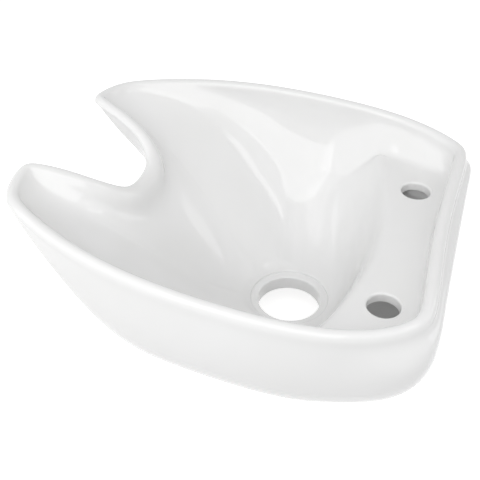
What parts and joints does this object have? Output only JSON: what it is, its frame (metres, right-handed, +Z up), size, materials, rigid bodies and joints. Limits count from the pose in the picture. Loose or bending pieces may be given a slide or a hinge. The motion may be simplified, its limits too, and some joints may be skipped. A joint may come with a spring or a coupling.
{
  "type": "hair-wash basin",
  "caption": "White glazed china hair-wash basin with a neck notch, a tap deck behind the bowl and studs under it for a bracket.",
  "frame": {"origin": "on the axis of the waste hole, in the plane of the seat under the bowl", "axes": "+Z up, +Y from the waste towards the tap deck and the back face, -Y towards the neck notch, +X to the right of someone who looks from the notch to the deck"},
  "size_m": [0.4464, 0.4839, 0.2461],
  "materials": {
    "glazed_china": "glossy white glaze",
    "resin_bedding": "cast, matt",
    "insert_brass": "turned",
    "stud_steel": "zinc plated",
    "washer_rubber": "matt",
    "washer_steel": "zinc plated",
    "spring_steel": "zinc plated",
    "nut_steel": "zinc plated"
  },
  "bodies": {
    "root": {"basin_body": "glazed_china", "anchor_bedding": "resin_bedding", "threaded_inserts": "insert_brass", "stepped_studs": "stud_steel", "rubber_washers": "washer_rubber", "plain_washers": "washer_steel", "spring_washers": "spring_steel", "lock_nuts": "nut_steel"}
  },
  "joints": []
}
